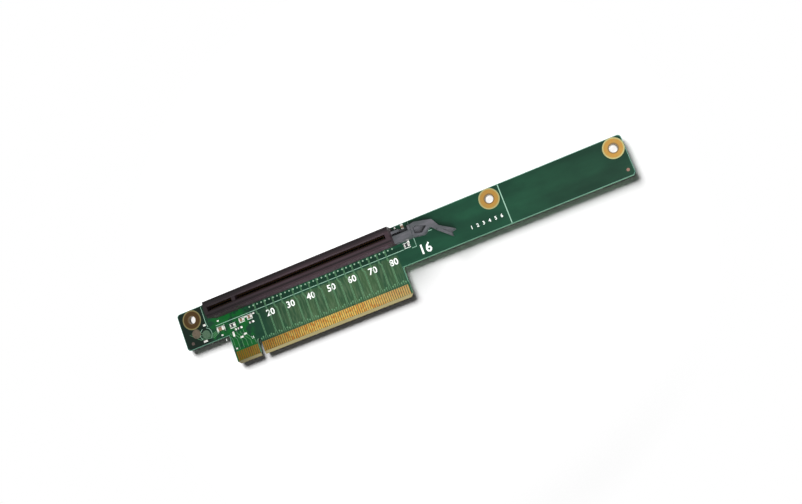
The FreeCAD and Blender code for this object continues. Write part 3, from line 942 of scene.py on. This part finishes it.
@dataclass
class Traces:
    """Copper under the mask: the paired lanes between tab and slot, ground stubs and vias.

    Each point of a bus route holds its place and how far it moves from one bus to the next.
    """

    connector: Connector
    top: float
    width: float = 0.2
    height: float = 0.02
    root: float = 0.2
    straight: float = 0.7
    pair_gap: float = 0.42
    join_level: float = 8.3
    lean_levels: Point = (17.5, 18.5)
    slot_level: float = 22.9
    stub_length: float = 1.0
    stub_step: float = 0.5
    via_radius: float = 0.36
    via_height: float = 0.035
    via_sides: int = 12
    via_start: Point = (0.8, 22.25)
    via_pitch: float = 2.0
    via_count: int = 36
    fan_rise: Point = (7.6, 0.42)
    fan_lean: Point = (1.5, 0.22)
    fan_slope: float = 1.3
    fan_top: Point = (13.4, 0.3)
    bus_count: int = 4
    bus_route: tuple[Four, ...] = (
        (-30.5, 20.4, 1, 0.3), (-26, 16.4, 1, 0.5), (-19.5, 15.4, 0, 0.55), (-16.5, 16.6, 0, 0.55),
        (-13.5, 16.6, 0, 0.55),
    )

    def pairs(self, side: int) -> list[int]:
        """Return the first finger of each pair, for side 1 at the front and -1 at the back."""
        return [first if side > 0 else first + 2 for first in self.connector.pair_starts]

    def lanes(self, side: int) -> list[list[Point]]:
        """Return the middle lines of the paired traces.

        Args:
            side: 1 for the front and -1 for the back.

        Returns:
            Two lines for each lane.
        """
        lines = []
        start = self.connector.finger_top - self.root
        half = self.connector.pitch / 2
        lean = self.connector.slot_shift
        for number in self.pairs(side):
            middle = self.connector.across(number) + half
            for sign in (-1, 1):
                foot = middle + sign * half
                run = middle + sign * self.pair_gap / 2
                lines.append([
                    (foot, start), (foot, start + self.straight),
                    (run, self.join_level), (run, self.lean_levels[0]),
                    (run + lean, self.lean_levels[1]), (run + lean, self.slot_level),
                ])
        return lines

    def stubs(self, side: int) -> list[list[Point]]:
        """Return the short traces from the ground fingers to their vias.

        Args:
            side: 1 for the front and -1 for the back.

        Returns:
            One line for each ground finger.
        """
        paired = {finger for number in self.pairs(side) for finger in (number, number + 1)}
        start = self.connector.finger_top - self.root
        lines = []
        for contact in self.connector.contacts():
            if contact not in paired and contact > self.connector.before_key:
                x = self.connector.across(contact)
                lines.append([(x, start), (x, start + self.stub_length + self.stub_step * (contact % 2))])
        return lines

    def fan(self) -> list[list[Point]]:
        """Return the traces that lean from the short finger group towards the small parts.

        Returns:
            One line for every second finger.
        """
        lines = []
        start = self.connector.finger_top - self.root
        for contact in range(1, self.connector.before_key + 1, 2):
            x = self.connector.across(contact)
            rise = self.fan_rise[0] + self.fan_rise[1] * (self.connector.before_key - contact)
            shift = self.fan_lean[0] + self.fan_lean[1] * contact
            top = self.fan_top[0] + self.fan_top[1] * (contact % 4)
            bend = rise + shift * self.fan_slope
            lines.append([(x, start), (x, rise), (x - shift, bend), (x - shift, top)])
        return lines

    def buses(self) -> list[list[Point]]:
        """Return the long slow-signal traces that run along the board beside the slot."""
        return [
            [(x + across * bus, y + along * bus) for x, y, across, along in self.bus_route]
            for bus in range(self.bus_count)
        ]

    def build(self) -> None:
        """Model the traces and vias of both sides."""
        front = self.lanes(1) + self.stubs(1) + self.fan() + self.buses()
        back = self.lanes(-1) + self.stubs(-1)
        finish_piece(ribbons("traces_front", front, self.width, self.top, self.height), Finish.TRACE)
        finish_piece(ribbons("traces_back", back, self.width, 0.0, -self.height), Finish.TRACE)
        row = [(self.via_start[0] + self.via_pitch * via, self.via_start[1]) for via in range(self.via_count)]
        grounds = [line[-1] for line in self.stubs(1)]
        for name, spots, finish in (("vias_row", row, Finish.VIA), ("vias_ground", grounds, Finish.TRACE)):
            for side, level, height in (("front", self.top, self.via_height), ("back", 0, -self.via_height)):
                master = disc("via_master", (0, 0, 0), self.via_radius, height, self.via_sides)
                finish_piece(strew(f"{name}_{side}", master, [(x, y, level, 0) for x, y in spots]), finish)


@dataclass
class MaskRim:
    """The pale laminate rim along the routed edge, where the mask stops short."""

    low: Vector
    high: Vector
    tab_left: float = -12.6
    tab_right: float = 72.6
    left_rise: float = 13.6
    right_rise: float = 13.1
    finger_level: float = 6.6
    corner: float = 1.2
    inset: float = 0.14
    width: float = 0.24
    height: float = 0.012

    def outline(self) -> list[Point]:
        """Return the middle line of the rim, open across the gold fingers.

        Returns:
            The line's points, from the tab's left side round to its right.
        """
        left, right, far = self.low.x / MM, self.high.x / MM, self.high.y / MM
        cut = self.corner
        near = self.inset
        return [
            (self.tab_left + near, self.finger_level), (self.tab_left + near, self.left_rise + near),
            (left + cut, self.left_rise + near), (left + near, self.left_rise + cut),
            (left + near, far - cut), (left + cut, far - near),
            (right - cut, far - near), (right - near, far - cut),
            (right - near, self.right_rise + cut), (right - cut, self.right_rise + near),
            (self.tab_right - near, self.right_rise + near), (self.tab_right - near, self.finger_level),
        ]

    def build(self) -> None:
        """Model the rim of both sides."""
        top = self.high.z / MM
        for name, level, height in (("rim_front", top, self.height), ("rim_back", 0.0, -self.height)):
            finish_piece(ribbons(name, [self.outline()], self.width, level, height), Finish.LAMINATE)


@dataclass
class MaskLip:
    """The edge of the solder mask, which overlaps the roots of the gold fingers."""

    connector: Connector
    front: float
    back: float
    top: float
    overlap: float = 0.65
    margin: float = 0.05
    cover: float = 0.02

    def build(self) -> None:
        """Model the lip of both sides."""
        middle = self.connector.finger_top + self.margin - self.overlap / 2
        half = self.connector.pitch / 2
        key, last = self.connector.before_key, len(self.connector.contacts())
        lines = [
            [(self.connector.across(first) - half, middle), (self.connector.across(final) + half, middle)]
            for first, final in ((1, key), (key + 1, last))
        ]
        for name, level, height in (
            ("mask_lip_front", self.top, self.front - self.top + self.cover),
            ("mask_lip_back", 0.0, self.back - self.cover),
        ):
            finish_piece(ribbons(name, lines, self.overlap, level, height), Finish.MASK)


@dataclass
class Legend:
    """White legend printed on the board: outlines, brackets and plain numbers.

    Each chip frame holds its middle, half its length and how far its two lines stand from the middle. Each
    figure holds its text, its middle and its height.
    """

    connector: Connector
    top: float
    line: float = 0.26
    frame_line: float = 0.182
    break_width: float = 0.4
    break_line: tuple[Point, ...] = ((122.6, 13.5), (122.6, 30.8))
    outlines: tuple[tuple[Point, ...], ...] = (
        ((-17.2, 20.0), (75.4, 20.0)),
        ((-21.3, 30.6), (-21.3, 22.5), (-20.9, 21.0)),
        ((81.2, 31.0), (81.2, 29.3)),
        ((81.3, 23.6), (81.3, 19.4), (79.2, 19.4)),
        ((86.0, 23.6), (90.0, 23.6)),
    )
    frames: tuple[Four, ...] = (
        (-15.2, 17.8, 2.0, 1.2), (-9.4, 17.3, 1.5, 1.0), (-4.6, 18.2, 1.4, 1.0), (-0.6, 18.2, 1.4, 1.0),
        (77.4, 21.3, 1.5, 1.1),
    )
    contact_figures: tuple[int, ...] = (20, 30, 40, 50, 60, 70, 80)
    contact_level: float = 16.5
    contact_size: float = 2.9
    figures: tuple[tuple[str, Point, float], ...] = (
        ("1", (-14.4, 12.2), 1.1), ("11", (-2.2, 9.0), 1.1), ("16", (84.5, 17.0), 4.2),
    )
    weeks: int = 6
    week_start: Point = (103.5, 17.9)
    week_pitch: float = 2.7
    week_size: float = 1.5
    ring_middle: Point = (-22.8, 18.0)
    ring_radius: float = 2.9
    ring_line: float = 0.2
    ring_arcs: tuple[Point, ...] = ((-60, 130), (110, 110))

    def numbers(self) -> list[tuple[str, Point, float]]:
        """Return every printed figure: contact numbers, single numbers and the row of weeks.

        Returns:
            The text, middle and height of each.
        """
        contacts = [
            (str(contact), (self.connector.across(contact), self.contact_level), self.contact_size)
            for contact in self.contact_figures
        ]
        weeks = [
            (str(week), (self.week_start[0] + self.week_pitch * week, self.week_start[1]), self.week_size)
            for week in range(1, self.weeks + 1)
        ]
        return [*contacts, *self.figures, *weeks]

    def build(self) -> None:
        """Print the legend."""
        frames = [
            ((x - half, y + rise), (x + half, y + rise))
            for x, y, half, reach in self.frames
            for rise in (reach, -reach)
        ]
        for name, lines, width, finish in (
            ("legend_lines", self.outlines, self.line, Finish.WORN_INK),
            ("legend_break_line", (self.break_line,), self.break_width, Finish.WORN_INK),
            ("legend_frames", frames, self.frame_line, Finish.INK),
        ):
            finish_piece(ribbons(name, lines, width, self.top, INK_HEIGHT), finish)
        printed = [numeral(*figure, self.top) for figure in self.numbers()]
        finish_piece(gather("legend_numbers", printed), Finish.INK, smooth=False)
        arcs = [arc_line(self.ring_middle, self.ring_radius, *arc) for arc in self.ring_arcs]
        finish_piece(ribbons("legend_ring", arcs, self.ring_line, self.top, INK_HEIGHT), Finish.WORN_INK)


@dataclass
class Lands:
    """Bare and tinned lands: empty component pads, alignment marks and the round test land.

    Each pad holds its middle, its width and its depth. Each disc holds its middle, radius and height.
    """

    top: float
    height: float = 0.045
    rounding: float = 0.015
    pads: tuple[Four, ...] = (
        (-22.3, 22.2, 1.3, 0.9), (-24.0, 15.2, 1.9, 0.9), (-10.3, 13.5, 0.9, 2.3), (-7.0, 11.0, 1.5, 0.8),
        (-5.0, 11.8, 1.4, 0.8), (-11.0, 6.9, 0.7, 0.7), (-15.5, 21.7, 0.9, 0.7), (-15.5, 15.0, 0.9, 0.7),
        (78.5, 22.6, 0.9, 0.9), (75.0, 30.2, 0.8, 0.8), (-8.6, 15.2, 0.8, 0.9), (-2.6, 18.9, 1.0, 0.7),
        (1.6, 19.0, 1.1, 0.6), (88.1, 25.3, 1.2, 0.8),
    )
    marks: tuple[tuple[Point, float, float], ...] = (((-30.2, 16.2), 0.75, 0.04), ((174.0, 16.0), 0.7, 0.04))
    test_land: tuple[Point, float, float] = ((-27.2, 19.8), 2.1, 0.05)
    test_sides: int = 48
    seat: tuple[Point, float, float] = ((-22.8, 18.0), 1.9, 0.04)
    seat_sides: int = 40

    def round_land(self, name: str, land: tuple[Point, float, float], sides: int = 32) -> Mesh:
        """Model one round land from its middle, radius and height."""
        middle, radius, height = land
        return disc(name, (*middle, self.top), radius, height, sides)

    def build(self) -> None:
        """Model the lands."""
        level = self.top + self.height / 2
        pads = [
            slab("land", (x, y, level), (width, depth, self.height), self.rounding)
            for x, y, width, depth in self.pads
        ]
        finish_piece(gather("lands_tinned", pads), Finish.TIN)
        marks = [self.round_land("mark", mark) for mark in self.marks]
        finish_piece(gather("alignment_marks", marks), Finish.COPPER)
        test_land = self.round_land("test_land", self.test_land, self.test_sides)
        finish_piece(test_land, Finish.COVERED)
        finish_piece(self.round_land("footprint_seat", self.seat, self.seat_sides), Finish.SEAT)


@dataclass
class Soldering:
    """Solder on the slot's tails under the board, and on the ends of the chips."""

    connector: Connector
    slot_middle: float
    top: float
    chips: Sequence[tuple[Vector, Vector]]
    cone_radius: float = 0.48
    cone_foot: float = 0.06
    cone_sides: int = 10
    cone_steps: tuple[Point, ...] = ((0.62, 0.22), (0.66, 0.34), (0.5, 0.12))
    cone_turn: float = 18.0
    fillet_rise: float = 0.62
    fillet_reach: float = 0.42
    fillet_width: float = 0.96
    fillet_sink: float = 0.02
    fillet_rounding: float = 0.03
    toe_share: float = 0.4
    toe_height: float = 0.12

    def joint(self) -> Mesh:
        """Model one solder cone about a tail, pointing down from the origin.

        Returns:
            The cone, which narrows and drops at each of its steps.
        """
        size = {"radius": self.cone_radius * MM, "depth": self.cone_foot * MM}
        size.update(vertices=self.cone_sides, location=(0, 0, -self.cone_foot / 2 * MM))
        cone = primitive(bpy.ops.mesh.primitive_cylinder_add, "solder_cone", **size)
        settle(cone)
        for reach, drop in self.cone_steps:
            lowest = min(cone.data.polygons, key=lambda polygon: polygon.center.z).index
            edit_faces(cone, lambda polygon: polygon.index == lowest)
            bpy.ops.mesh.extrude_region_move(TRANSFORM_OT_translate={"value": (0, 0, -drop * MM)})
            bpy.ops.transform.resize(value=(reach, reach, 1))
            bpy.ops.object.mode_set(mode="OBJECT")
        return cone

    def build(self) -> None:
        """Model all solder."""
        tails = self.connector.tails(self.slot_middle)
        places = [(x, y, 0, self.cone_turn * number) for number, (x, y) in enumerate(tails)]
        finish_piece(strew("solder_joints", self.joint(), places), Finish.TIN)
        fillets = [self.fillet(low / MM, high / MM, sign) for low, high in self.chips for sign in (-1, 1)]
        finish_piece(gather("chip_fillets", fillets), Finish.TIN)

    def fillet(self, low: Vector, high: Vector, sign: int) -> Mesh:
        """Model the solder that climbs one end of a chip.

        Args:
            low: The chip's lowest corner.
            high: Its highest corner.
            sign: -1 for its lower end and 1 for its higher end.

        Returns:
            The fillet.
        """
        size = high - low
        axis = 0 if size.x > size.y else 1
        tall = size.z * self.fillet_rise
        reach = self.fillet_reach
        centre = (low + high) / 2
        centre[axis] += sign * (size[axis] / 2 + reach / 2 - self.fillet_sink)
        centre.z = self.top + tall / 2
        box_size = [size.x * self.fillet_width, size.y * self.fillet_width, tall]
        box_size[axis] = reach
        block = slab("fillet", centre, box_size, self.fillet_rounding)
        outer = max(sign * vertex.co[axis] for vertex in block.data.vertices)
        for vertex in block.data.vertices:
            if outer - sign * vertex.co[axis] < reach * self.toe_share * MM:
                vertex.co.z = self.top * MM + (vertex.co.z - self.top * MM) * self.toe_height
        return block


@dataclass
class SlotTrim:
    """The slot housing's moulded ribs, which stand on both long walls at the contact pitch.

    The housing's box reaches down to the ends of its pegs, so the ribs' foot is measured from there.
    """

    connector: Connector
    low: Vector
    high: Vector
    rib_width: float = 0.42
    rib_depth: float = 0.1
    rib_sink: float = 0.02
    rib_drop: float = 1.35
    rib_foot: float = 2.45
    rib_rounding: float = 0.04

    def build(self) -> None:
        """Model the ribs."""
        bottom = self.low.z / MM + self.rib_foot
        top = self.high.z / MM - self.rib_drop
        size = (self.rib_width, self.rib_depth, top - bottom)
        rib = slab("rib_master", (0, 0, (bottom + top) / 2), size, self.rib_rounding)
        stand_off = self.rib_depth / 2 - self.rib_sink
        places = [
            (self.connector.slot_shift + self.connector.across(contact), wall, 0, 0)
            for contact in self.connector.contacts()
            for wall in (self.low.y / MM - stand_off, self.high.y / MM + stand_off)
        ]
        finish_piece(strew("housing_ribs", rib, places), Finish.RIB)


# Studio


@dataclass(frozen=True)
class Lamp:
    """One soft area light, in metres and watts."""

    name: str
    place: Triple
    size: tuple[float, float]
    power: float
    aim: Triple = (0.07, 0.015, 0.0)
    only_floor: bool = False


@dataclass(frozen=True)
class Studio:
    """Floor, lights and camera."""

    # The screw holes, under which the paper glows white as painted light.
    holes: tuple[Point, ...] = ()
    lamps: tuple[Lamp, ...] = (
        Lamp("key", (0.33, -0.3, 0.66), (0.5, 0.4), 10.5),
        Lamp("fill", (0.05, -0.85, 0.3), (0.7, 0.25), 3.0),
        Lamp("floor_light", (-0.2, 0.8, 0.57), (0.7, 0.62), 25.5, only_floor=True),
    )
    camera_place: Triple = (137.0, -26.4, 342.7)
    camera_turn: Triple = (-0.134, 0.181, -0.384)
    focal_length: float = 36.57
    sensor_width: float = 36.0
    nearest: float = 0.01
    floor_level: float = -1.22
    floor_size: float = 6.0
    sky_glow: float = 0.06

    def add_camera(self) -> None:
        """Set the camera up at the viewing angle."""
        data = bpy.data.cameras.new("camera")
        data.lens = self.focal_length
        data.sensor_width = self.sensor_width
        data.clip_start = self.nearest
        camera = bpy.data.objects.new("camera", data)
        rx, ry, rz = self.camera_turn
        turn = Matrix.Rotation(rz, 4, "Z") @ Matrix.Rotation(ry, 4, "Y") @ Matrix.Rotation(rx, 4, "X")
        flip = Matrix.Diagonal((1, -1, -1, 1))
        place = Matrix.Translation([part * MM for part in self.camera_place])
        camera.matrix_world = place @ (turn @ flip).transposed() @ flip
        bpy.context.collection.objects.link(camera)
        bpy.context.scene.camera = camera

    def add_floor(self) -> None:
        """Lay the sheet of paper under the card."""
        under = (0, 0, self.floor_level * MM)
        plane = bpy.ops.mesh.primitive_plane_add
        floor = primitive(plane, "paper_floor", size=self.floor_size, location=under)
        floor.data.materials.append(Sheet(holes=self.holes).make())

    def add_light(self, lamp: Lamp, lit: bpy.types.Collection) -> None:
        """Hang one soft light.

        Args:
            lamp: The light.
            lit: The objects that it lights.
        """
        data = bpy.data.lights.new(lamp.name, "AREA")
        data.energy = lamp.power
        data.shape = "RECTANGLE"
        data.size, data.size_y = lamp.size
        light = bpy.data.objects.new(lamp.name, data)
        light.location = lamp.place
        direction = Vector(lamp.aim) - Vector(lamp.place)
        light.rotation_euler = direction.to_track_quat("-Z", "Y").to_euler()
        light.visible_camera = False
        light.visible_glossy = not lamp.only_floor
        light.light_linking.receiver_collection = lit
        bpy.context.collection.objects.link(light)

    def add_sky(self) -> None:
        """Surround the card with white, which is seen and mirrored in full but lights it softly."""
        world = bpy.data.worlds.new("studio")
        world.use_nodes = True
        tree = world.node_tree
        background = tree.nodes["Background"]
        background.inputs["Color"].default_value = (1, 1, 1, 1)
        seen = add_node(tree, "ShaderNodeLightPath", "Is Camera Ray")
        for ray in ("Is Glossy Ray", "Is Transmission Ray"):
            seen = seen.math("MAXIMUM", add_node(tree, "ShaderNodeLightPath", ray))
        strength = seen * (1 - self.sky_glow) + self.sky_glow
        tree.links.new(strength.socket, background.inputs["Strength"])
        bpy.context.scene.world = world

    def build(self) -> None:
        """Set up the whole studio."""
        self.add_camera()
        self.add_floor()
        self.add_sky()
        card = bpy.data.collections.new("lit_card")
        paper = bpy.data.collections.new("lit_paper")
        for obj in bpy.context.scene.objects:
            if obj.type == "MESH":
                (paper if obj.name == "paper_floor" else card).objects.link(obj)
        for lamp in self.lamps:
            self.add_light(lamp, paper if lamp.only_floor else card)
        bpy.context.scene.view_settings.view_transform = "Standard"


class Card:
    """The whole card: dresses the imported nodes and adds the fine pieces."""

    FINISHES = (
        ("terminals", Finish.TIN), ("board", Finish.MASK), ("fingers", Finish.GOLD),
        ("housing", Finish.HOUSING), ("contacts", Finish.CONTACT), ("clip", Finish.CLIP),
        ("capacitor", Finish.CAPACITOR), ("resistor", Finish.RESISTOR),
    )

    def __init__(self, frame: dict) -> None:
        """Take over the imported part.
        """
        self.nodes = frame["nodes"]
        self.record = frame["record"]
        self.eyelet = RingedPlating("plated_copper", self.mount_centres()).make()

    def mount_centres(self) -> tuple[Point, ...]:
        """Return the screw holes' centres from the record's mounts."""
        holes = [mount for mount in self.record["mounts"] if mount["kind"] == "bore"]
        return tuple((hole["pos_m"][0] / MM, hole["pos_m"][1] / MM) for hole in holes)

    def dress_nodes(self) -> None:
        """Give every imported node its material, chosen by the first of the words that its name holds."""
        for name, node in self.nodes.items():
            if name == "mount_eyelets":
                material = self.eyelet
            else:
                material = next(finish.material for word, finish in self.FINISHES if word in name)
            if not node.material_slots:
                node.data.materials.append(material)
            for slot in node.material_slots:
                slot.material = material

    def box(self, node: str) -> tuple[Vector, Vector]:
        """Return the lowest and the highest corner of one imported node."""
        low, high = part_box(node)
        return Vector(low), Vector(high)

    def build(self) -> None:
        """Dress the nodes and build every added piece."""
        self.dress_nodes()
        connector = Connector()
        board_low, board_high = self.box("circuit_board")
        slot_low, slot_high = self.box("slot_housing")
        top = board_high.z / MM
        middle = (slot_low.y + slot_high.y) / 2 / MM
        front = self.box("edge_fingers_front_after_key")[1].z / MM
        back = self.box("edge_fingers_back_after_key")[0].z / MM
        ends = [name for name in sorted(self.nodes) if name.startswith("chip") and name.endswith("terminals")]
        for piece in (
            Traces(connector, top), MaskRim(board_low, board_high), MaskLip(connector, front, back, top),
            Legend(connector, top), Lands(top),
            Soldering(connector, middle, top, [self.box(name) for name in ends]),
            SlotTrim(connector, slot_low, slot_high),
        ):
            piece.build()


def main() -> None:
    """Dress the card and set up the studio."""
    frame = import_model()
    card = Card(frame)
    card.build()
    Studio(holes=card.mount_centres()).build()


if __name__ == "__main__":
    main()
